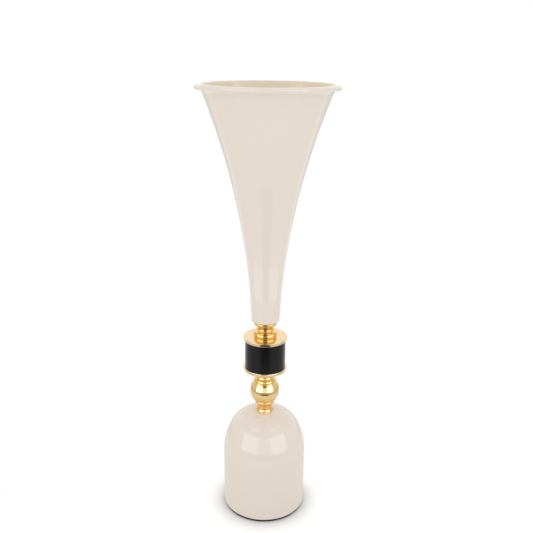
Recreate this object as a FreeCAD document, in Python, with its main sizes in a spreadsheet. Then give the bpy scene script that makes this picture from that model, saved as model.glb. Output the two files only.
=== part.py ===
import FreeCAD, Part
import math
import os
import Sketcher

# Trumpet vase: an enamelled trumpet on a turned column over a domed, weighted base.
# Every piece is threaded on one central tie rod. Height runs along +Z from the floor.

doc = FreeCAD.newDocument("trumpet_vase")

# Driving sizes in millimetres
SIZES = {
    # Tie rod and the hole that every piece on it has
    "rod_diameter": 8.0,
    "rod_hole_clearance": 0.3,
    "thread_clearance": 0.05,
    "rod_end_chamfer": 1.0,
    "rod_lower_gap": 0.8,
    "rod_cap_gap": 2.5,
    # Foot pad
    "pad_thickness": 3.4,
    "pad_inset": 1.2,
    "pad_edge_round": 0.6,
    # Domed base shell
    "base_diameter": 113.4,
    "base_height": 139.6,
    "base_dome_rise": 58.8,
    "base_shoulder_radius": 78.0,
    "base_land_margin": 0.25,
    "base_wall": 2.2,
    "base_rebate_depth": 0.7,
    "base_edge_round": 0.6,
    # Cast iron ballast in the foot
    "ballast_thickness": 18.0,
    "ballast_clearance": 0.15,
    "ballast_pocket_diameter": 28.0,
    "ballast_pocket_spare": 1.5,
    # Nuts and washers
    "nut_across_flats": 13.0,
    "nut_height": 6.5,
    "jam_nut_height": 4.0,
    "nut_corner_drop": 1.0,
    "nut_bearing_margin": 0.3,
    "cap_nut_hex_height": 6.5,
    "cap_nut_height": 15.0,
    "cap_nut_crown": 4.0,
    "lock_washer_diameter": 14.8,
    "lock_washer_thickness": 2.0,
    "lock_washer_split": 12.0,
    "crown_washer_margin": 0.6,
    "crown_washer_thickness": 1.6,
    "top_washer_diameter": 20.0,
    "top_washer_thickness": 1.6,
    "seal_diameter": 23.0,
    "seal_thickness": 2.0,
    # Flared collar that stands on the dome
    "collar_foot_diameter": 22.8,
    "collar_foot_height": 1.8,
    "collar_top_diameter": 20.2,
    "collar_height": 6.5,
    "collar_hollow_radius": 9.5,
    "collar_edge_round": 0.4,
    # Ball, with a cup below it and a cap above it that both take it in a dished seat
    "ball_diameter": 40.4,
    "ball_wall": 1.5,
    "ball_cup_web": 5.0,
    "ball_cup_bend_diameter": 23.8,
    "ball_cup_bend_height": 6.2,
    "ball_cup_hollow_radius": 14.0,
    "ball_cup_swell_radius": 3.2,
    "ball_cup_seat_diameter": 27.2,
    "ball_cup_lip_overhang": 0.3,
    "ball_cup_lip_height": 0.6,
    "ball_cup_lip_round": 0.8,
    "ball_cap_seat_diameter": 29.4,
    "ball_cap_lip_overhang": 0.5,
    "ball_cap_lip_height": 1.3,
    "ball_cap_lip_round": 1.6,
    "ball_cap_height": 18.6,
    "ball_cap_bend_diameter": 26.4,
    "ball_cap_bend_height": 4.7,
    "ball_cap_neck_diameter": 22.0,
    "ball_cap_neck_rise": 4.0,
    "ball_cap_hollow_radius": 4.7,
    "ball_cap_swell_radius": 4.0,
    # Drum with its two discs
    "lower_disc_overhang": 1.9,
    "lower_disc_thickness": 4.1,
    "upper_disc_overhang": 2.05,
    "upper_disc_thickness": 4.1,
    "disc_edge_round": 0.7,
    "spigot_height": 2.0,
    "spigot_clearance": 0.15,
    "drum_diameter": 54.8,
    "drum_height": 39.6,
    "drum_wall": 2.0,
    "drum_edge_round": 0.3,
    "core_clearance": 1.2,
    "core_wall": 2.5,
    # Rings and cup under the trumpet
    "check_ring_end_diameter": 30.2,
    "check_ring_height": 6.2,
    "check_ring_swell_radius": 7.0,
    "ogee_foot_inset": 0.3,
    "ogee_foot_height": 1.2,
    "ogee_foot_round": 0.3,
    "ogee_top_diameter": 20.6,
    "ogee_height": 6.1,
    "ogee_hollow_radius": 5.1,
    "cup_bend_diameter": 25.8,
    "cup_bend_height": 3.2,
    "cup_hollow_radius": 6.0,
    "cup_diameter": 31.0,
    "cup_widest_height": 6.7,
    "cup_swell_radius": 5.0,
    "cup_top_diameter": 28.2,
    "cup_shoulder_height": 9.8,
    "cup_shoulder_radius": 3.4,
    "cup_height": 11.0,
    # Trumpet
    "trumpet_height": 304.4,
    "trumpet_foot_diameter": 38.2,
    "trumpet_flare_diameter": 161.4,
    "trumpet_flare_radius": 885.0,
    "trumpet_wall": 2.2,
    "trumpet_foot_round": 0.9,
    "lip_overhang": 8.3,
    "lip_thickness": 6.2,
    "lip_edge_flat": 0.2,
    "lip_cove_radius": 5.5,
    "mouth_round": 2.6,
}

# Sizes worked out from the driving ones: places on the rod, and points where curves meet
DERIVED = {
    "rod_hole_radius": "Sizes.rod_diameter / 2 + Sizes.rod_hole_clearance",
    "thread_radius": "Sizes.rod_diameter / 2 + Sizes.thread_clearance",
    "base_radius": "Sizes.base_diameter / 2",
    "base_straight_height": "Sizes.base_height - Sizes.base_dome_rise",
    "base_land_radius": "Sizes.collar_foot_diameter / 2 + Sizes.base_land_margin",
    "shoulder_centre": "base_radius - Sizes.base_shoulder_radius",
    "shoulder_run": "base_land_radius - shoulder_centre",
    "crown_radius": "(shoulder_run ^ 2 + Sizes.base_dome_rise ^ 2 - Sizes.base_shoulder_radius ^ 2)"
                    " / (2 * (Sizes.base_dome_rise - Sizes.base_shoulder_radius))",
    "crown_rise": "Sizes.base_dome_rise - crown_radius",
    "crown_span": "Sizes.base_shoulder_radius - crown_radius",
    "shoulder_inner": "Sizes.base_shoulder_radius - Sizes.base_wall",
    "rebate_radius": "base_radius - Sizes.base_wall + Sizes.base_rebate_depth",
    "ballast_radius": "rebate_radius - Sizes.ballast_clearance",
    "ballast_pocket_depth": "Sizes.nut_height + Sizes.lock_washer_thickness + Sizes.ballast_pocket_spare",
    "crown_washer_radius": "base_land_radius - Sizes.crown_washer_margin",
    "nut_bearing_radius": "Sizes.nut_across_flats / 2 - Sizes.nut_bearing_margin",
    "cap_nut_bore_depth": "Sizes.cap_nut_height - Sizes.cap_nut_crown",
    "ball_radius": "Sizes.ball_diameter / 2",
    "ball_inner_radius": "ball_radius - Sizes.ball_wall",
    "ball_half": "sqrt(ball_radius ^ 2 - rod_hole_radius ^ 2)",
    "ball_inner_half": "sqrt(ball_inner_radius ^ 2 - rod_hole_radius ^ 2)",
    "ball_cup_seat_radius": "Sizes.ball_cup_seat_diameter / 2",
    "ball_cup_seat_rise": "ball_half - sqrt(ball_radius ^ 2 - ball_cup_seat_radius ^ 2)",
    "ball_cup_height": "Sizes.ball_cup_web + ball_cup_seat_rise",
    "ball_cap_seat_radius": "Sizes.ball_cap_seat_diameter / 2",
    "ball_cap_seat_rise": "ball_half - sqrt(ball_radius ^ 2 - ball_cap_seat_radius ^ 2)",
    "spigot_radius": "Sizes.drum_diameter / 2 - Sizes.drum_wall - Sizes.spigot_clearance",
    "lower_disc_radius": "Sizes.drum_diameter / 2 + Sizes.lower_disc_overhang",
    "upper_disc_radius": "Sizes.drum_diameter / 2 + Sizes.upper_disc_overhang",
    "core_inner_radius": "rod_hole_radius + Sizes.core_clearance",
    "ogee_foot_radius": "Sizes.check_ring_end_diameter / 2 - Sizes.ogee_foot_inset",
    "flare_top": "Sizes.trumpet_height - Sizes.lip_thickness",
    "flare_run": "(Sizes.trumpet_flare_diameter - Sizes.trumpet_foot_diameter) / 2",
    "flare_chord": "sqrt(flare_run ^ 2 + flare_top ^ 2)",
    "flare_stand": "sqrt(Sizes.trumpet_flare_radius ^ 2 - flare_chord ^ 2 / 4)",
    "flare_centre_radius": "(Sizes.trumpet_flare_diameter + Sizes.trumpet_foot_diameter) / 4"
                           " + flare_stand * flare_top / flare_chord",
    "flare_centre_height": "flare_top / 2 - flare_stand * flare_run / flare_chord",
    "inner_flare_radius": "Sizes.trumpet_flare_radius + Sizes.trumpet_wall",
    "throat_radius": "flare_centre_radius"
                     " - sqrt(inner_flare_radius ^ 2 - (Sizes.trumpet_wall - flare_centre_height) ^ 2)",
    "mouth_radius": "flare_centre_radius"
                    " - sqrt(inner_flare_radius ^ 2 - (Sizes.trumpet_height - flare_centre_height) ^ 2)",
    "lip_radius": "Sizes.trumpet_flare_diameter / 2 + Sizes.lip_overhang",
    "lip_round": "(Sizes.lip_thickness - Sizes.lip_edge_flat) / 2",
    # Heights above the floor, in the order in which the pieces are stacked
    "base_level": "Sizes.pad_thickness",
    "lock_washer_level": "base_level + ballast_pocket_depth - Sizes.lock_washer_thickness",
    "base_nut_level": "lock_washer_level - Sizes.nut_height",
    "rod_level": "base_level + Sizes.rod_lower_gap",
    "crown_washer_level": "base_level + Sizes.base_height - Sizes.base_wall - Sizes.crown_washer_thickness",
    "jam_nut_level": "crown_washer_level - Sizes.jam_nut_height",
    "collar_level": "base_level + Sizes.base_height",
    "ball_cup_level": "collar_level + Sizes.collar_height",
    "ball_level": "ball_cup_level + Sizes.ball_cup_web",
    "ball_cap_level": "ball_level + 2 * ball_half - ball_cap_seat_rise",
    "lower_disc_level": "ball_cap_level + Sizes.ball_cap_height",
    "drum_level": "lower_disc_level + Sizes.lower_disc_thickness",
    "core_level": "drum_level + Sizes.spigot_height",
    "core_height": "Sizes.drum_height - 2 * Sizes.spigot_height",
    "upper_disc_level": "drum_level + Sizes.drum_height - Sizes.spigot_height",
    "check_ring_level": "drum_level + Sizes.drum_height + Sizes.upper_disc_thickness",
    "ogee_level": "check_ring_level + Sizes.check_ring_height",
    "cup_level": "ogee_level + Sizes.ogee_height",
    "trumpet_level": "cup_level + Sizes.cup_height",
    "seal_level": "trumpet_level + Sizes.trumpet_wall",
    "top_washer_level": "seal_level + Sizes.seal_thickness",
    "cap_nut_level": "top_washer_level + Sizes.top_washer_thickness",
    "rod_length": "cap_nut_level + cap_nut_bore_depth - Sizes.rod_cap_gap - rod_level",
}


def fill_sheet(name, values, prefix=""):
    """A sheet with one named cell for each value."""
    sheet = doc.addObject("Spreadsheet::Sheet", name)
    for row, (alias, value) in enumerate(values.items(), start=1):
        sheet.set(f"A{row}", alias)
        sheet.set(f"B{row}", f"{prefix}{value}")
        sheet.setAlias(f"B{row}", alias)
    doc.recompute()
    return sheet


sizes = fill_sheet("Sizes", SIZES)
derived = fill_sheet("Derived", DERIVED, prefix="=")


def worked_out(expression):
    """The number that an expression on the two sheets gives."""
    return float(derived.evalExpression(expression))


def new_piece(label, level="0"):
    """An empty body standing at its level on the rod."""
    body = doc.addObject("PartDesign::Body", label)
    body.Label = label
    body.setExpression("Placement.Base.z", level)
    return body


def new_sketch(body, suffix, plane_role):
    """A sketch on one of the body's own origin planes."""
    sketch = body.newObject("Sketcher::SketchObject", f"{body.Name}_{suffix}")
    plane = next(f for f in body.Origin.OriginFeatures if f.Role == plane_role)
    sketch.AttachmentSupport = [(plane, "")]
    sketch.MapMode = "FlatFace"
    return sketch


def pin(sketch, constraint, expression):
    """One sketch constraint, bound to the sheets."""
    index = sketch.addConstraint(constraint)
    sketch.setExpression(f"Constraints[{index}]", expression)


def arc_between(start, finish, radius, swells):
    """The smaller arc from start to finish that swells out of the outline, or hollows into it."""
    side = 1 if swells else -1
    along, rise = finish[0] - start[0], finish[1] - start[1]
    chord = math.hypot(along, rise)
    stand = side * math.sqrt(radius ** 2 - (chord / 2) ** 2) / chord
    centre_x = (start[0] + finish[0]) / 2 - rise * stand
    centre_y = (start[1] + finish[1]) / 2 + along * stand
    first, last = (start, finish) if swells else (finish, start)
    angles = [math.atan2(p[1] - centre_y, p[0] - centre_x) for p in (first, last)]
    circle = Part.Circle(FreeCAD.Vector(centre_x, centre_y, 0), FreeCAD.Vector(0, 0, 1), radius)
    return Part.ArcOfCircle(circle, *angles)


def draw_outline(sketch, points, curves):
    """A closed outline, counter-clockwise, through (radius, height) points.

    curves maps a point's number to ("swell" or "hollow", radius) for the edge that leaves it.
    """
    places = [(worked_out(radius), worked_out(height)) for radius, height in points]
    ends = []
    for number, start in enumerate(places):
        finish = places[(number + 1) % len(places)]
        if number in curves:
            shape, radius = curves[number]
            swells = shape == "swell"
            edge = sketch.addGeometry(arc_between(start, finish, worked_out(radius), swells))
            pin(sketch, Sketcher.Constraint("Radius", edge, worked_out(radius)), radius)
            ends.append((edge, 1, 2) if swells else (edge, 2, 1))
        else:
            line = Part.LineSegment(FreeCAD.Vector(*start, 0), FreeCAD.Vector(*finish, 0))
            ends.append((sketch.addGeometry(line), 1, 2))
    for number, (edge, first, _) in enumerate(ends):
        before, _, last = ends[number - 1]
        sketch.addConstraint(Sketcher.Constraint("Coincident", before, last, edge, first))
        for kind, axis, place, expression in zip(
                ("DistanceX", "DistanceY"), (-2, -1), places[number], points[number]):
            if expression == "0":
                sketch.addConstraint(Sketcher.Constraint("PointOnObject", edge, first, axis))
            else:
                pin(sketch, Sketcher.Constraint(kind, -1, 1, edge, first, place), expression)


def turn(body, suffix, points, curves=None, cut=False, angle=None):
    """Turn an outline about the rod's axis, to add to the body or to cut it."""
    sketch = new_sketch(body, suffix, "XZ_Plane")
    draw_outline(sketch, points, curves or {})
    kind = "PartDesign::Groove" if cut else "PartDesign::Revolution"
    feature = body.newObject(kind, f"{body.Name}_{suffix}_turned")
    feature.Profile = sketch
    feature.ReferenceAxis = (sketch, ["V_Axis"])
    feature.Angle = 360
    if angle:
        feature.setExpression("Angle", angle)
    sketch.Visibility = False
    doc.recompute()
    return feature


def round_edges(body, suffix, places, radius):
    """Round the circular edges of the body that lie at the (radius, height) places."""
    tip = body.Tip
    wanted = [(worked_out(r), worked_out(z)) for r, z in places]
    names = []
    for number, edge in enumerate(tip.Shape.Edges, start=1):
        circle = edge.Curve
        if not isinstance(circle, Part.Circle):
            continue
        for r, z in wanted:
            if abs(circle.Radius - r) < 1e-4 and abs(circle.Center.z - z) < 1e-4:
                names.append(f"Edge{number}")
    if len(names) != len(places):
        raise RuntimeError(f"{body.Label} {suffix}: {len(names)} edges found for {len(places)}")
    feature = body.newObject("PartDesign::Fillet", f"{body.Name}_{suffix}")
    feature.Base = (tip, names)
    feature.setExpression("Radius", radius)
    doc.recompute()


def band(body, inner, outer, height):
    """A plain turned ring from the floor of its own frame up to height."""
    turn(body, "outline", [(inner, "0"), (outer, "0"), (outer, height), (inner, height)])


def hexagon_pad(body, height):
    """A hexagonal prism, across flats as the nuts are."""
    sketch = new_sketch(body, "hexagon", "XY_Plane")
    corner = worked_out("Sizes.nut_across_flats / sqrt(3)")
    turns = [math.radians(60 * k) for k in range(6)]
    corners = [FreeCAD.Vector(corner * math.cos(a), corner * math.sin(a), 0) for a in turns]
    for k in range(6):
        sketch.addGeometry(Part.LineSegment(corners[k], corners[(k + 1) % 6]))
    ring = sketch.addGeometry(
        Part.Circle(FreeCAD.Vector(0, 0, 0), FreeCAD.Vector(0, 0, 1), corner), True)
    sketch.addConstraint(Sketcher.Constraint("Coincident", ring, 3, -1, 1))
    for k in range(6):
        sketch.addConstraint(Sketcher.Constraint("Coincident", k, 2, (k + 1) % 6, 1))
        sketch.addConstraint(Sketcher.Constraint("PointOnObject", k, 1, ring))
    for k in range(5):
        sketch.addConstraint(Sketcher.Constraint("Equal", k, k + 1))
    sketch.addConstraint(Sketcher.Constraint("PointOnObject", 0, 1, -1))
    pin(sketch, Sketcher.Constraint("Radius", ring, corner), "Sizes.nut_across_flats / sqrt(3)")
    pad = body.newObject("PartDesign::Pad", f"{body.Name}_hexagon_pad")
    pad.Profile = sketch
    pad.setExpression("Length", height)
    sketch.Visibility = False
    doc.recompute()


def bevel_corners(body, suffix, level, drop):
    """Turn the corners of a hexagon off at one end, down to the bearing circle."""
    bearing = "Derived.nut_bearing_radius"
    outside = "Sizes.nut_across_flats"
    far_level = f"{level} + {drop} * ({outside} - {bearing}) / ({outside} / sqrt(3) - {bearing})"
    points = [(bearing, level), (outside, level), (outside, far_level)]
    if worked_out(drop) < 0:
        points = [points[0], points[2], points[1]]
    turn(body, suffix, points, cut=True)


def threaded_bore(body, depth):
    """The hole that the rod's thread fills."""
    turn(body, "bore", [("0", "0"), ("Derived.thread_radius", "0"), ("Derived.thread_radius", depth),
                        ("0", depth)], cut=True)


def hex_nut(label, level, height):
    """A plain hexagon nut with both faces bevelled."""
    body = new_piece(label, level)
    hexagon_pad(body, height)
    bevel_corners(body, "lower_bevel", "0", "Sizes.nut_corner_drop")
    bevel_corners(body, "upper_bevel", height, "-Sizes.nut_corner_drop")
    threaded_bore(body, height)
    return body


# Foot pad: a black disc that the vase stands on, glued under the base
def make_foot_pad():
    body = new_piece("foot_pad")
    edge = "Derived.base_radius - Sizes.pad_inset"
    turn(body, "outline", [("0", "0"), (edge, "0"), (edge, "Sizes.pad_thickness"),
                           ("0", "Sizes.pad_thickness")])
    round_edges(body, "edge", [(edge, "0")], "Sizes.pad_edge_round")
    return body


# Base shell: a straight wall that closes in a dome, open below, rebated for the ballast
def make_base_dome():
    body = new_piece("base_dome", "Derived.base_level")
    outer, inner = "Derived.base_radius", "Derived.base_radius - Sizes.base_wall"
    straight, top = "Derived.base_straight_height", "Sizes.base_height"
    under_top = "Sizes.base_height - Sizes.base_wall"
    land, hole = "Derived.base_land_radius", "Derived.rod_hole_radius"

    def meeting(radius):
        """Where an arc of this radius about the shoulder's centre meets the crown's."""
        return (f"Derived.shoulder_centre + {radius} * Derived.shoulder_run / Derived.crown_span",
                f"{straight} + {radius} * Derived.crown_rise / Derived.crown_span")

    points = [
        ("Derived.rebate_radius", "0"), (outer, "0"), (outer, straight),
        meeting("Sizes.base_shoulder_radius"), (land, top), (hole, top), (hole, under_top),
        (land, under_top), meeting("Derived.shoulder_inner"), (inner, straight),
        (inner, "Sizes.ballast_thickness"), ("Derived.rebate_radius", "Sizes.ballast_thickness"),
    ]
    curves = {
        2: ("swell", "Sizes.base_shoulder_radius"),
        3: ("swell", "Derived.crown_radius"),
        7: ("hollow", "Derived.crown_radius - Sizes.base_wall"),
        8: ("hollow", "Derived.shoulder_inner"),
    }
    turn(body, "outline", points, curves)
    round_edges(body, "foot_edge", [(outer, "0")], "Sizes.base_edge_round")
    return body


# Ballast: a cast iron disc in the rebate, with a pocket below for the nut
def make_ballast_weight():
    body = new_piece("ballast_weight", "Derived.base_level")
    pocket, deep = "Sizes.ballast_pocket_diameter / 2", "Derived.ballast_pocket_depth"
    hole, top = "Derived.rod_hole_radius", "Sizes.ballast_thickness"
    turn(body, "outline", [
        (pocket, "0"), ("Derived.ballast_radius", "0"), ("Derived.ballast_radius", top),
        (hole, top), (hole, deep), (pocket, deep),
    ])
    return body


# Lock washer: a split steel ring under the ballast
def make_lock_washer():
    body = new_piece("lock_washer", "Derived.lock_washer_level")
    hole, rim = "Derived.rod_hole_radius", "Sizes.lock_washer_diameter / 2"
    height = "Sizes.lock_washer_thickness"
    turn(body, "outline", [(hole, "0"), (rim, "0"), (rim, height), (hole, height)],
         angle="360 - Sizes.lock_washer_split")
    return body


# Tie rod: a steel rod from the foot to the trumpet's floor
def make_tie_rod():
    body = new_piece("tie_rod", "Derived.rod_level")
    side, tip = "Sizes.rod_diameter / 2", "Sizes.rod_diameter / 2 - Sizes.rod_end_chamfer"
    turn(body, "outline", [
        ("0", "0"), (tip, "0"), (side, "Sizes.rod_end_chamfer"),
        (side, "Derived.rod_length - Sizes.rod_end_chamfer"), (tip, "Derived.rod_length"),
        ("0", "Derived.rod_length"),
    ])
    return body


# Crown washer: a wide steel washer that backs the dome's thin top
def make_crown_washer():
    body = new_piece("crown_washer", "Derived.crown_washer_level")
    band(body, "Derived.rod_hole_radius", "Derived.crown_washer_radius",
         "Sizes.crown_washer_thickness")
    return body


# Collar: a turned brass foot of the column, waisted between its foot and its top
def make_base_collar():
    body = new_piece("base_collar", "Derived.collar_level")
    foot, top = "Sizes.collar_foot_diameter / 2", "Sizes.collar_top_diameter / 2"
    hole = "Derived.rod_hole_radius"
    turn(body, "outline", [
        (hole, "0"), (foot, "0"), (foot, "Sizes.collar_foot_height"),
        (top, "Sizes.collar_height"), (hole, "Sizes.collar_height"),
    ], {2: ("hollow", "Sizes.collar_hollow_radius")})
    round_edges(body, "foot_edge", [(foot, "0"), (foot, "Sizes.collar_foot_height")],
                "Sizes.collar_edge_round")
    return body


# Ball cup: a turned bowl on the collar, dished to take the ball
def make_ball_cup():
    body = new_piece("ball_cup", "Derived.ball_cup_level")
    hole, neck = "Derived.rod_hole_radius", "Sizes.collar_top_diameter / 2"
    rim, seat = "Derived.ball_cup_height", "Derived.ball_cup_seat_radius"
    turn(body, "outline", [
        (hole, "0"), (neck, "0"), ("Sizes.ball_cup_bend_diameter / 2", "Sizes.ball_cup_bend_height"),
        (seat + " + Sizes.ball_cup_lip_overhang", rim + " - Sizes.ball_cup_lip_height"), (seat, rim),
        (hole, "Sizes.ball_cup_web"),
    ], {
        1: ("hollow", "Sizes.ball_cup_hollow_radius"),
        2: ("swell", "Sizes.ball_cup_swell_radius"),
        3: ("swell", "Sizes.ball_cup_lip_round"),
        4: ("hollow", "Derived.ball_radius"),
    })
    return body


# Ball: a hollow polished sphere, drilled through for the rod
def make_ball():
    body = new_piece("ball", "Derived.ball_level")
    hole = "Derived.rod_hole_radius"
    turn(body, "outline", [
        (hole, "0"), (hole, "2 * Derived.ball_half"),
        (hole, "Derived.ball_half + Derived.ball_inner_half"),
        (hole, "Derived.ball_half - Derived.ball_inner_half"),
    ], {0: ("swell", "Derived.ball_radius"), 2: ("hollow", "Derived.ball_inner_radius")})
    return body


# Ball cap: a turned bell on the ball, drawn in to a neck that carries the lower disc
def make_ball_cap():
    body = new_piece("ball_cap", "Derived.ball_cap_level")
    hole, neck = "Derived.rod_hole_radius", "Sizes.ball_cap_neck_diameter / 2"
    seat, bend, top = "Derived.ball_cap_seat_radius", "Sizes.ball_cap_bend_height", "Sizes.ball_cap_height"
    turn(body, "outline", [
        (hole, "Derived.ball_cap_seat_rise"), (seat, "0"),
        (seat + " + Sizes.ball_cap_lip_overhang", "Sizes.ball_cap_lip_height"),
        ("Sizes.ball_cap_bend_diameter / 2", bend), (neck, bend + " + Sizes.ball_cap_neck_rise"),
        (neck, top), (hole, top),
    ], {
        0: ("hollow", "Derived.ball_radius"),
        1: ("swell", "Sizes.ball_cap_lip_round"),
        2: ("swell", "Sizes.ball_cap_swell_radius"),
        3: ("hollow", "Sizes.ball_cap_hollow_radius"),
    })
    return body


# Lower disc: a polished disc with a spigot above that centres the drum
def make_lower_disc():
    body = new_piece("lower_disc", "Derived.lower_disc_level")
    edge, thick = "Derived.lower_disc_radius", "Sizes.lower_disc_thickness"
    hole, crest = "Derived.rod_hole_radius", "Sizes.lower_disc_thickness + Sizes.spigot_height"
    turn(body, "outline", [
        (hole, "0"), (edge, "0"), (edge, thick), ("Derived.spigot_radius", thick),
        ("Derived.spigot_radius", crest), (hole, crest),
    ])
    round_edges(body, "rim", [(edge, "0"), (edge, thick)], "Sizes.disc_edge_round")
    return body


# Drum: a black sleeve between the two discs
def make_drum_sleeve():
    body = new_piece("drum_sleeve", "Derived.drum_level")
    outer, height = "Sizes.drum_diameter / 2", "Sizes.drum_height"
    band(body, "Sizes.drum_diameter / 2 - Sizes.drum_wall", outer, height)
    round_edges(body, "ends", [(outer, "0"), (outer, height)], "Sizes.drum_edge_round")
    return body


# Core: a steel spacer inside the drum that carries the rod's pull from disc to disc
def make_drum_core():
    body = new_piece("drum_core", "Derived.core_level")
    band(body, "Derived.core_inner_radius", "Derived.core_inner_radius + Sizes.core_wall",
         "Derived.core_height")
    return body


# Upper disc: a polished disc with its spigot below
def make_upper_disc():
    body = new_piece("upper_disc", "Derived.upper_disc_level")
    edge, step = "Derived.upper_disc_radius", "Sizes.spigot_height"
    hole, top = "Derived.rod_hole_radius", "Sizes.spigot_height + Sizes.upper_disc_thickness"
    turn(body, "outline", [
        (hole, "0"), ("Derived.spigot_radius", "0"), ("Derived.spigot_radius", step), (edge, step),
        (edge, top), (hole, top),
    ])
    round_edges(body, "rim", [(edge, step), (edge, top)], "Sizes.disc_edge_round")
    return body


# Check ring: a turned ring with a barrelled wall on the upper disc
def make_check_ring():
    body = new_piece("check_ring", "Derived.check_ring_level")
    edge, height = "Sizes.check_ring_end_diameter / 2", "Sizes.check_ring_height"
    hole = "Derived.rod_hole_radius"
    turn(body, "outline", [(hole, "0"), (edge, "0"), (edge, height), (hole, height)],
         {1: ("swell", "Sizes.check_ring_swell_radius")})
    return body


# Ogee collar: a thin foot that sweeps in to the waist under the cup
def make_ogee_collar():
    body = new_piece("ogee_collar", "Derived.ogee_level")
    foot, top = "Derived.ogee_foot_radius", "Sizes.ogee_top_diameter / 2"
    hole, thick = "Derived.rod_hole_radius", "Sizes.ogee_foot_height"
    turn(body, "outline", [
        (hole, "0"), (foot, "0"), (foot, thick), (top, "Sizes.ogee_height"), (hole, "Sizes.ogee_height"),
    ], {2: ("hollow", "Sizes.ogee_hollow_radius")})
    round_edges(body, "foot_edge", [(foot, "0"), (foot, thick)], "Sizes.ogee_foot_round")
    return body


# Cup: a turned bowl that swells from the waist and carries the trumpet's foot
def make_trumpet_cup():
    body = new_piece("trumpet_cup", "Derived.cup_level")
    hole, height = "Derived.rod_hole_radius", "Sizes.cup_height"
    foot, top = "Sizes.ogee_top_diameter / 2", "Sizes.cup_top_diameter / 2"
    turn(body, "outline", [
        (hole, "0"), (foot, "0"), ("Sizes.cup_bend_diameter / 2", "Sizes.cup_bend_height"),
        ("Sizes.cup_diameter / 2", "Sizes.cup_widest_height"), (top, "Sizes.cup_shoulder_height"),
        (top, height), (hole, height),
    ], {
        1: ("hollow", "Sizes.cup_hollow_radius"),
        2: ("swell", "Sizes.cup_swell_radius"),
        3: ("swell", "Sizes.cup_shoulder_radius"),
    })
    return body


# Trumpet: a closed foot, one long flare, and a thick lip turned out over a cove
def make_trumpet_funnel():
    body = new_piece("trumpet_funnel", "Derived.trumpet_level")
    foot, flare = "Sizes.trumpet_foot_diameter / 2", "Sizes.trumpet_flare_diameter / 2"
    lip, top = "Derived.lip_radius", "Sizes.trumpet_height"
    floor, under_lip = "Sizes.trumpet_wall", "Derived.flare_top"
    hole = "Derived.rod_hole_radius"
    turn(body, "outline", [
        (hole, "0"), (foot, "0"), (flare, under_lip), (lip, under_lip), (lip, top),
        ("Derived.mouth_radius", top), ("Derived.throat_radius", floor), (hole, floor),
    ], {1: ("hollow", "Sizes.trumpet_flare_radius"), 5: ("swell", "Derived.inner_flare_radius")})
    round_edges(body, "cove", [(flare, under_lip)], "Sizes.lip_cove_radius")
    round_edges(body, "lip", [(lip, under_lip), (lip, top)], "Derived.lip_round")
    round_edges(body, "mouth", [("Derived.mouth_radius", top)], "Sizes.mouth_round")
    round_edges(body, "foot_edge", [(foot, "0")], "Sizes.trumpet_foot_round")
    return body


# Seal: a rubber washer on the trumpet's floor
def make_seal_washer():
    body = new_piece("seal_washer", "Derived.seal_level")
    band(body, "Derived.rod_hole_radius", "Sizes.seal_diameter / 2", "Sizes.seal_thickness")
    return body


# Top washer: a steel washer that spreads the cap nut's pressure on the seal
def make_top_washer():
    body = new_piece("top_washer", "Derived.top_washer_level")
    band(body, "Derived.rod_hole_radius", "Sizes.top_washer_diameter / 2", "Sizes.top_washer_thickness")
    return body


# Cap nut: a domed nut that closes the rod's end inside the trumpet
def make_cap_nut():
    body = new_piece("cap_nut", "Derived.cap_nut_level")
    hexagon_pad(body, "Sizes.cap_nut_hex_height")
    bevel_corners(body, "lower_bevel", "0", "Sizes.nut_corner_drop")
    dome, top = "Derived.nut_bearing_radius", "Sizes.cap_nut_height"
    turn(body, "dome", [
        ("0", "0"), (dome, "0"), (dome, f"{top} - {dome}"), ("0", top),
    ], {2: ("swell", dome)})
    threaded_bore(body, "Derived.cap_nut_bore_depth")
    return body


pieces = [
    make_foot_pad(),
    make_base_dome(),
    make_ballast_weight(),
    make_lock_washer(),
    hex_nut("base_nut", "Derived.base_nut_level", "Sizes.nut_height"),
    make_tie_rod(),
    make_crown_washer(),
    hex_nut("jam_nut", "Derived.jam_nut_level", "Sizes.jam_nut_height"),
    make_base_collar(),
    make_ball_cup(),
    make_ball(),
    make_ball_cap(),
    make_lower_disc(),
    make_drum_sleeve(),
    make_drum_core(),
    make_upper_disc(),
    make_check_ring(),
    make_ogee_collar(),
    make_trumpet_cup(),
    make_trumpet_funnel(),
    make_seal_washer(),
    make_top_washer(),
    make_cap_nut(),
]

doc.recompute()
for item in doc.Objects:
    if "Invalid" in item.State or "Error" in item.State:
        raise RuntimeError(f"{item.Label} did not build: {item.State}")
for piece in pieces:
    if piece.Shape.isNull() or not piece.Shape.isValid() or len(piece.Shape.Solids) != 1:
        raise RuntimeError(f"{piece.Label} is not one sound solid")

os.makedirs("parts", exist_ok=True)
for piece in pieces:
    piece.Shape.exportStep(f"parts/{piece.Label}.step")
    box = piece.Shape.optimalBoundingBox(False, False)
    print(f"{piece.Label:16s} z {box.ZMin:7.2f} to {box.ZMax:7.2f}  radius {box.XMax:6.2f}"
          f"  volume {piece.Shape.Volume:9.0f}")
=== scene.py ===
import math

import bpy
from mathutils import Matrix

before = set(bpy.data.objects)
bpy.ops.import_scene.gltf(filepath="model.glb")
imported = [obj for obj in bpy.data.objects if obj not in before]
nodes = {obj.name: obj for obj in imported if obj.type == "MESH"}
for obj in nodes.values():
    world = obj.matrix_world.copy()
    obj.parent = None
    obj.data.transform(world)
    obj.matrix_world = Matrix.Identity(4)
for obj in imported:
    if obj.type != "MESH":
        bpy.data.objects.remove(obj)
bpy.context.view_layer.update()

bpy.ops.object.select_all(action="DESELECT")

# Camera. It stands 0.85 m in front of the vase, a little above the mouth, looks down at the column
# and is turned slightly about its line of sight, which makes the vase lean to the right.
photo_side, focal_length = 533, 688
sensor_width = 36
camera_place = (0.0006, -0.851, 0.6272)
pitch_down, lean = math.radians(17.91), math.radians(0.6)

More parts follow.
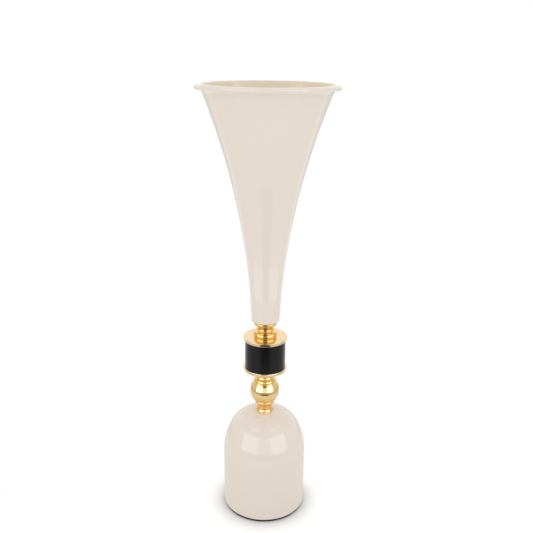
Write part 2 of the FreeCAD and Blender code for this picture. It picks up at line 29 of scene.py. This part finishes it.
camera = bpy.data.objects.new("camera", bpy.data.cameras.new("camera"))
bpy.context.collection.objects.link(camera)
camera.data.sensor_width = sensor_width
camera.data.lens = sensor_width * focal_length / photo_side
camera.matrix_world = (Matrix.Translation(camera_place)
                       @ Matrix.Rotation(math.radians(90) - pitch_down, 4, "X")
                       @ Matrix.Rotation(lean, 4, "Z"))
bpy.context.scene.camera = camera
bpy.context.scene.view_settings.view_transform = "Standard"

# Studio light. A white tent lights matt surfaces evenly. Polished ones mirror what hangs in it: two
# soft boxes in front with plainer cloth between them, a dark slot high up, darker cloth at the sides,
# and below them a dim gap, a dark strip and the bright table.


class Value:
    """A shader socket that takes part in Python sums. Each operator adds its Math node."""

    def __init__(self, finish, socket):
        self.finish, self.socket = finish, socket

    def maths(self, operation, *values):
        return self.finish.add("ShaderNodeMath", {"operation": operation}, dict(enumerate(values)))

    def __add__(self, other):
        return self.maths("ADD", self, other)

    def __radd__(self, other):
        return self.maths("ADD", other, self)

    def __sub__(self, other):
        return self.maths("SUBTRACT", self, other)

    def __rsub__(self, other):
        return self.maths("SUBTRACT", other, self)

    def __mul__(self, other):
        return self.maths("MULTIPLY", self, other)

    def __rmul__(self, other):
        return self.maths("MULTIPLY", other, self)

    def __truediv__(self, other):
        return self.maths("DIVIDE", self, other)

    def __pow__(self, other):
        return self.maths("POWER", self, other)

    def __abs__(self):
        return self.maths("ABSOLUTE", self)

    def rises(self, low, high):
        """0 below low, 1 above high, with soft ends."""
        settings = {"interpolation_type": "SMOOTHSTEP"}
        return self.finish.add("ShaderNodeMapRange", settings, {0: self, 1: low, 2: high})

    def steps(self, edge, blur):
        """0 below the edge, 1 above it, blurred as far as blur to either side."""
        return self.rises(edge - blur, edge + blur)


class Finish:
    """An emptied node tree, of a material or of the world, with one method that adds any node."""

    def __init__(self, tree):
        self.tree = tree
        tree.nodes.clear()

    def add(self, kind, settings, sockets, output=None):
        """A node: first its settings, then its sockets by name or number. Gives one output."""
        node = self.tree.nodes.new(kind)
        for name, value in settings.items():
            setattr(node, name, value)
        for key, value in sockets.items():
            if isinstance(value, Value):
                self.tree.links.new(value.socket, node.inputs[key])
            else:
                node.inputs[key].default_value = value
        shown = [socket for socket in node.outputs if socket.enabled]
        if shown:
            return Value(self, node.outputs[output] if output else shown[0])

    def mix(self, share, first, second):
        """A colour between two others."""
        settings = {"data_type": "RGBA"}
        return self.add("ShaderNodeMix", settings, {0: share, 6: first, 7: second})

    def parts(self, vector):
        """The X, Y and Z of a vector."""
        split = self.add("ShaderNodeSeparateXYZ", {}, {0: vector}, "X")
        return [Value(self, socket) for socket in split.socket.node.outputs]


def degrees(angle):
    """An angle in degrees from one in radians."""
    return angle * (180 / math.pi)


def bearing_of(east, north):
    """The degrees from straight in front, to either side."""
    return degrees(abs(east.maths("ARCTAN2", east, north * -1)))


def blend(share, first, second):
    """A level of light between two others."""
    return first + (second - first) * share


tent_light, backdrop_light = 1.0, 1.0
side_light, back_light, back_from, back_to = 0.72, 1.05, 112, 145
box_light, box_middle_light, box_edge, box_leans, box_top = 2.8, 1.05, 67, 0.23, 35
above_light, slot_light, slot_edge, slot_from = 0.7, 0.05, 20, 62
gap_light, gap_side_light, gap_side_from, gap_from, gap_to = 0.32, 0.6, 20, -19, -4
low_light, strip_light, strip_side_light, strip_edge, strip_from = 0.85, 0.06, 0.72, 27, -26.6
box_blur, top_blur, slot_blur, gap_blur, side_blur, strip_blur = 4, 3, 6, 1.5, 8, 0.2

world = bpy.data.worlds.new("studio")
bpy.context.scene.world = world
world.use_nodes = True
world.cycles.sampling_method = "NONE"
studio = Finish(world.node_tree)
east, north, height = studio.parts(studio.add("ShaderNodeTexCoord", {}, {}, "Generated"))
bearing = bearing_of(east, north)
rise = degrees(height.maths("ARCSINE", height))
around = blend(bearing.rises(back_from, back_to), side_light, back_light)
middle = 1 - bearing.steps(slot_edge, slot_blur)
above = blend(middle * rise.steps(slot_from, top_blur), above_light, slot_light)
box = blend(middle, box_light, box_middle_light)
box = blend(rise.steps(box_top, top_blur), box, above)
in_box = 1 - (bearing - box_leans * rise).steps(box_edge, box_blur)
upper = blend(in_box, around, box)
gap = blend(bearing.rises(gap_side_from, box_edge), gap_light, gap_side_light)
strip = blend(bearing.steps(strip_edge, side_blur), strip_light, strip_side_light)
low = blend(rise.steps(strip_from, strip_blur), low_light, strip)
low = blend(bearing.steps(box_edge, side_blur), low, around)
mirrored = blend(rise.steps(gap_from, gap_blur), low, gap)
mirrored = blend(rise.steps(gap_to, gap_blur), mirrored, upper)
seen_by_camera = studio.add("ShaderNodeLightPath", {}, {}, "Is Camera Ray")
seen_in_gloss = studio.add("ShaderNodeLightPath", {}, {}, "Is Glossy Ray")
level = blend(seen_in_gloss, tent_light, mirrored)
level = blend(seen_by_camera, level, backdrop_light)
sky = studio.add("ShaderNodeBackground", {}, {"Color": (1, 1, 1, 1), "Strength": level})
studio.add("ShaderNodeOutputWorld", {}, {"Surface": sky})

# Tent hem. The lower edge of the tent's front hangs close to the vase, above the ball's height, so
# the upper rings mirror it and the ball hardly does. It is a half round of lit cloth, brightest along
# its lower edge, and open and dark in its middle.
hem_radius, hem_bottom, hem_top, hem_bearing = 0.12, 0.257, 0.4, 78
hem_sides = 120
hem_bright, hem_dim, hem_open_light = 1.8, 0.8, 0.22
hem_dims_from, hem_dims_to = 0.28, 0.32


def new_finish(name):
    """A new material and its empty node tree."""
    material = bpy.data.materials.new(name)
    material.use_nodes = True
    return material, Finish(material.node_tree)


def place(finish):
    """The point on the surface, in metres."""
    return finish.add("ShaderNodeTexCoord", {}, {}, "Object")


def grey(brightness):
    """A colour without hue."""
    return brightness, brightness, brightness, 1


hem_material, cloth = new_finish("tent_hem")
east, north, height = cloth.parts(place(cloth))
lit = cloth.mix(height.rises(hem_dims_from, hem_dims_to), grey(hem_bright), grey(hem_dim))
beside_slot = bearing_of(east, north).steps(slot_edge, slot_blur)
glow = cloth.mix(beside_slot, grey(hem_open_light), lit)
cloth.add("ShaderNodeOutputMaterial", {}, {
    "Surface": cloth.add("ShaderNodeEmission", {}, {"Color": glow, "Strength": 1}),
})

bpy.ops.mesh.primitive_cylinder_add(vertices=hem_sides, radius=hem_radius, depth=hem_top - hem_bottom,
                                    end_fill_type="NOTHING",
                                    location=(0, 0, (hem_top + hem_bottom) / 2))
hem = bpy.context.object
hem.name = "tent_hem"
bpy.ops.object.transform_apply(location=True)
bpy.ops.object.mode_set(mode="EDIT")
bpy.ops.mesh.select_all(action="SELECT")
hem_back = -hem_radius * math.cos(math.radians(hem_bearing))
bpy.ops.mesh.bisect(plane_co=(0, hem_back, 0), plane_no=(0, 1, 0), clear_outer=True)
bpy.ops.object.mode_set(mode="OBJECT")
hem.data.materials.append(hem_material)
hem.visible_camera = False
hem.visible_diffuse = False
hem.visible_shadow = False

# Table. A small round white table top, which fades into the white behind it and keeps only the soft
# shadow round the foot. Close round the foot its white lift is held back, which paints a deeper
# shadow there. It is clear from below, so that the foot pad can be seen.
table_radius, table_sides = 0.38, 128
table_drop = 0.0002
table_white = 0.86
table_lift, painted_shadow_fades_from, painted_shadow_fades_to = 0.22, 0.054, 0.08

table_material, top = new_finish("table_top")
matt = top.add("ShaderNodeBsdfDiffuse", {}, {"Color": grey(table_white)})
away = top.add("ShaderNodeVectorMath", {"operation": "LENGTH"}, {0: place(top)}, "Value")
lit = top.add("ShaderNodeEmission", {}, {
    # Painted shadow: no lift close round the foot, so the table is darker there.
    "Color": top.mix(away.rises(painted_shadow_fades_from, painted_shadow_fades_to), grey(0), grey(1)),
    "Strength": table_lift * top.add("ShaderNodeLightPath", {}, {}, "Is Camera Ray"),
})
from_above = top.add("ShaderNodeAddShader", {}, {0: matt, 1: lit})
from_below = top.add("ShaderNodeBsdfTransparent", {}, {})
below = top.add("ShaderNodeNewGeometry", {}, {}, "Backfacing")
top.add("ShaderNodeOutputMaterial", {}, {
    "Surface": top.add("ShaderNodeMixShader", {}, {0: below, 1: from_above, 2: from_below}),
})

bpy.ops.mesh.primitive_circle_add(vertices=table_sides, radius=table_radius, fill_type="NGON",
                                  location=(0, 0, -table_drop))
table = bpy.context.object
table.name = "table_top"
bpy.ops.object.transform_apply(location=True)
table.data.materials.append(table_material)

# Foot pad. A disc of black closed-cell foam rubber, die cut and glued under the base. The cut cells
# are open at its surface, and it is worn a little grey in patches.
foam_black, foam_worn = (0.006, 0.006, 0.0065, 1), (0.016, 0.0155, 0.015, 1)
cell_scale, cell_depth = 1400.0, 0.0003
patch_scale, patch_from, patch_to = 60.0, 0.45, 0.75
foam_roughness, foam_spread = 0.75, 0.2


def dress(material, *names):
    """Give CAD nodes a finish."""
    for name in names:
        for slot in nodes[name].material_slots:
            slot.material = material


def noise(finish, vector, scale, detail=2.0):
    """Soft random variation from 0 to 1, scale per metre."""
    return finish.add("ShaderNodeTexNoise", {}, {"Vector": vector, "Scale": scale, "Detail": detail})


def bump(finish, height, depth):
    """A normal from a height map whose full range is depth metres."""
    return finish.add("ShaderNodeBump", {}, {"Height": height, "Distance": depth, "Strength": 1.0})


def surface(finish, sockets):
    """The finished surface."""
    shader = finish.add("ShaderNodeBsdfPrincipled", {}, sockets)
    finish.add("ShaderNodeOutputMaterial", {}, {"Surface": shader})


foam, tree = new_finish("foam_rubber")
point = place(tree)
cells = tree.add("ShaderNodeTexVoronoi", {}, {"Vector": point, "Scale": cell_scale})
patches = noise(tree, point, patch_scale, detail=4.0)
surface(tree, {
    "Base Color": tree.mix(patches.rises(patch_from, patch_to), foam_black, foam_worn),
    "Roughness": foam_roughness + foam_spread * patches,
    "Normal": bump(tree, cells, cell_depth),
})
dress(foam, "foot_pad")

# Base shell. Spun aluminium, sprayed and stoved in a glossy cream enamel. The enamel has a faint
# orange peel and small drifts of colour. Where it faces the axis, as it does inside the trumpet, a
# warmer cream is painted in as painted bounce light from the facing walls.
# The third cream is painted bounce light, for faces turned towards the axis.
cream, cream_deep, cream_painted_bounce = (0.8, 0.72, 0.633, 1), (0.775, 0.69, 0.6, 1), (0.81, 0.705, 0.55, 1)
painted_bounce_from, painted_bounce_to = -0.8, -0.1
drift_scale, drift_from, drift_to, drift_share = 14.0, 0.3, 0.75, 0.35
peel_scale, peel_depth = 420.0, 0.000006
gloss_scale, enamel_roughness, enamel_spread = 45.0, 0.07, 0.07
enamel_refraction = 1.5


def off_axis(east, north):
    """The distance from the turned axis."""
    return (east * east + north * north) ** 0.5


enamel, tree = new_finish("cream_enamel")
point = place(tree)
east, north = tree.parts(point)[:2]
faces_east, faces_north = tree.parts(tree.add("ShaderNodeNewGeometry", {}, {}, "Normal"))[:2]
outward = (east * faces_east + north * faces_north) / off_axis(east, north)
drift = noise(tree, point, drift_scale, detail=3.0)
outer_cream = tree.mix(drift.rises(drift_from, drift_to) * drift_share, cream, cream_deep)
surface(tree, {
    # Painted bounce light: a warmer cream where the surface faces the axis.
    "Base Color": tree.mix(outward.rises(painted_bounce_from, painted_bounce_to), cream_painted_bounce, outer_cream),
    "Roughness": enamel_roughness + enamel_spread * noise(tree, point, gloss_scale, detail=3.0),
    "Normal": bump(tree, noise(tree, point, peel_scale), peel_depth),
    "IOR": enamel_refraction,
})
dress(enamel, "base_dome")

# Ballast. A disc of grey cast iron, dipped in dark paint and let into the foot of the base. Rust
# comes through the paint in places.
iron_dark, iron_rust = (0.035, 0.035, 0.037, 1), (0.09, 0.05, 0.03, 1)
rust_scale, rust_from, rust_to = 30.0, 0.6, 0.72
grit_scale, grit_depth = 500.0, 0.0004
iron_metallic, iron_roughness, iron_spread = 0.5, 0.55, 0.3

iron, tree = new_finish("painted_iron")
point = place(tree)
grit = noise(tree, point, grit_scale, detail=6.0)
rust = noise(tree, point, rust_scale, detail=5.0).rises(rust_from, rust_to)
surface(tree, {
    "Base Color": tree.mix(rust, iron_dark, iron_rust),
    "Metallic": iron_metallic * (1 - rust),
    "Roughness": iron_roughness + iron_spread * grit,
    "Normal": bump(tree, grit, grit_depth),
})
dress(iron, "ballast_weight")

# Tie rod, its nuts and washers, and the tube in the drum. Mild steel, turned or stamped, zinc plated
# and passivated, which leaves pale clouds. The rod clamps all the other pieces between two nuts.
zinc_bright, zinc_cloud = (0.66, 0.67, 0.68, 1), (0.5, 0.51, 0.52, 1)
cloud_scale, cloud_depth = 180.0, 0.00003
zinc_roughness, zinc_spread = 0.25, 0.25

zinc, tree = new_finish("zinc_plated_steel")
clouds = noise(tree, place(tree), cloud_scale, detail=5.0)
surface(tree, {
    "Base Color": tree.mix(clouds, zinc_bright, zinc_cloud),
    "Metallic": 1.0,
    "Roughness": zinc_roughness + zinc_spread * clouds,
    "Normal": bump(tree, clouds, cloud_depth),
})
dress(zinc, "tie_rod", "base_nut", "lock_washer", "jam_nut", "crown_washer", "drum_core")

# Turned column. Brass, turned, gold plated and thinly lacquered. The ball is buffed to a mirror, the
# collar, the ball's cup and cap, the check ring, the ogee collar and the cup are polished in the
# lathe and keep faint marks round them. The ball, the turned pieces and the two discs each get
# their own shade of gold, the discs the palest.
gold_soft, gold_soft_warm = (0.93, 0.67, 0.33, 1), (0.9, 0.63, 0.28, 1)
gold_rich, gold_rich_warm = (0.93, 0.61, 0.235, 1), (0.9, 0.56, 0.19, 1)
gold_pale, gold_pale_warm = (0.89, 0.68, 0.41, 1), (0.87, 0.65, 0.37, 1)
mark_scale = 3000.0
ball_mark_depth, ring_mark_depth, disc_mark_depth = 0.0000002, 0.000004, 0.000002
smear_scale, smear_from, smear_to, smear_share = 90.0, 0.35, 0.8, 0.6
gold_roughness, gold_spread = 0.03, 0.04


def turned_marks(finish, point, scale, detail=2.0):
    """Soft variation in rings round the turned axis."""
    east, north, height = finish.parts(point)
    profile = finish.add("ShaderNodeCombineXYZ", {}, {0: off_axis(east, north), 1: height})
    return noise(finish, profile, scale, detail)


def plated_gold(name, bright, warm, mark_depth):
    """Gold plate over brass, with turning marks that are mark_depth metres deep."""
    gold, tree = new_finish(name)
    point = place(tree)
    smears = noise(tree, point, smear_scale, detail=4.0)
    surface(tree, {
        "Base Color": tree.mix(smears.rises(smear_from, smear_to) * smear_share, bright, warm),
        "Metallic": 1.0,
        "Roughness": gold_roughness + gold_spread * smears,
        "Normal": bump(tree, turned_marks(tree, point, mark_scale), mark_depth),
    })
    return gold


dress(plated_gold("polished_gold", gold_soft, gold_soft_warm, ball_mark_depth), "ball")
dress(plated_gold("turned_gold", gold_rich, gold_rich_warm, ring_mark_depth),
      "base_collar", "ball_cup", "ball_cap", "check_ring", "ogee_collar", "trumpet_cup")
dress(plated_gold("pale_gold", gold_pale, gold_pale_warm, disc_mark_depth),
      "lower_disc", "upper_disc")

# Drum. A sleeve of aluminium tube, lacquered black with a satin sheen and clamped between the two
# discs, whose spigots centre it.
lacquer_black, lacquer_worn = (0.004, 0.004, 0.004, 1), (0.005, 0.0048, 0.0046, 1)
haze_scale, haze_from, haze_to = 70.0, 0.4, 0.8
spray_scale, spray_depth = 900.0, 0.00001
lacquer_roughness, lacquer_spread = 0.11, 0.05
lacquer_refraction = 1.35

lacquer, tree = new_finish("satin_black_lacquer")
point = place(tree)
haze = noise(tree, point, haze_scale, detail=4.0)
surface(tree, {
    "Base Color": tree.mix(haze.rises(haze_from, haze_to), lacquer_black, lacquer_worn),
    "Roughness": lacquer_roughness + lacquer_spread * haze,
    "Normal": bump(tree, noise(tree, point, spray_scale), spray_depth),
    "IOR": lacquer_refraction,
})
dress(lacquer, "drum_sleeve")

# Trumpet. Spun in one long flare, with a closed foot and a thick lip turned out over a cove, and
# enamelled with the base, in the same cream.
dress(enamel, "trumpet_funnel")

# Seal. A moulded washer of black rubber on the trumpet's floor, under the top washer. It has a faint
# grey bloom.
rubber_black, rubber_bloom = (0.02, 0.02, 0.02, 1), (0.05, 0.05, 0.048, 1)
bloom_scale, bloom_from, bloom_to, bloom_depth = 150.0, 0.4, 0.8, 0.00005
rubber_roughness, rubber_spread = 0.6, 0.2

rubber, tree = new_finish("rubber")
bloom = noise(tree, place(tree), bloom_scale, detail=4.0)
surface(tree, {
    "Base Color": tree.mix(bloom.rises(bloom_from, bloom_to), rubber_black, rubber_bloom),
    "Roughness": rubber_roughness + rubber_spread * bloom,
    "Normal": bump(tree, bloom, bloom_depth),
})
dress(rubber, "seal_washer")

# Top washer and cap nut. Stainless steel, turned bright, with fine marks round the axis. They close
# the stack inside the trumpet.
stainless_light, stainless_dull = (0.66, 0.65, 0.63, 1), (0.55, 0.54, 0.52, 1)
dull_scale = 200.0
groove_scale, groove_depth = 2500.0, 0.000002
stainless_roughness, stainless_spread = 0.16, 0.14

stainless, tree = new_finish("stainless_steel")
point = place(tree)
dulled = noise(tree, point, dull_scale, detail=4.0)
surface(tree, {
    "Base Color": tree.mix(dulled, stainless_light, stainless_dull),
    "Metallic": 1.0,
    "Roughness": stainless_roughness + stainless_spread * dulled,
    "Normal": bump(tree, turned_marks(tree, point, groove_scale, detail=3.0), groove_depth),
})
dress(stainless, "top_washer", "cap_nut")
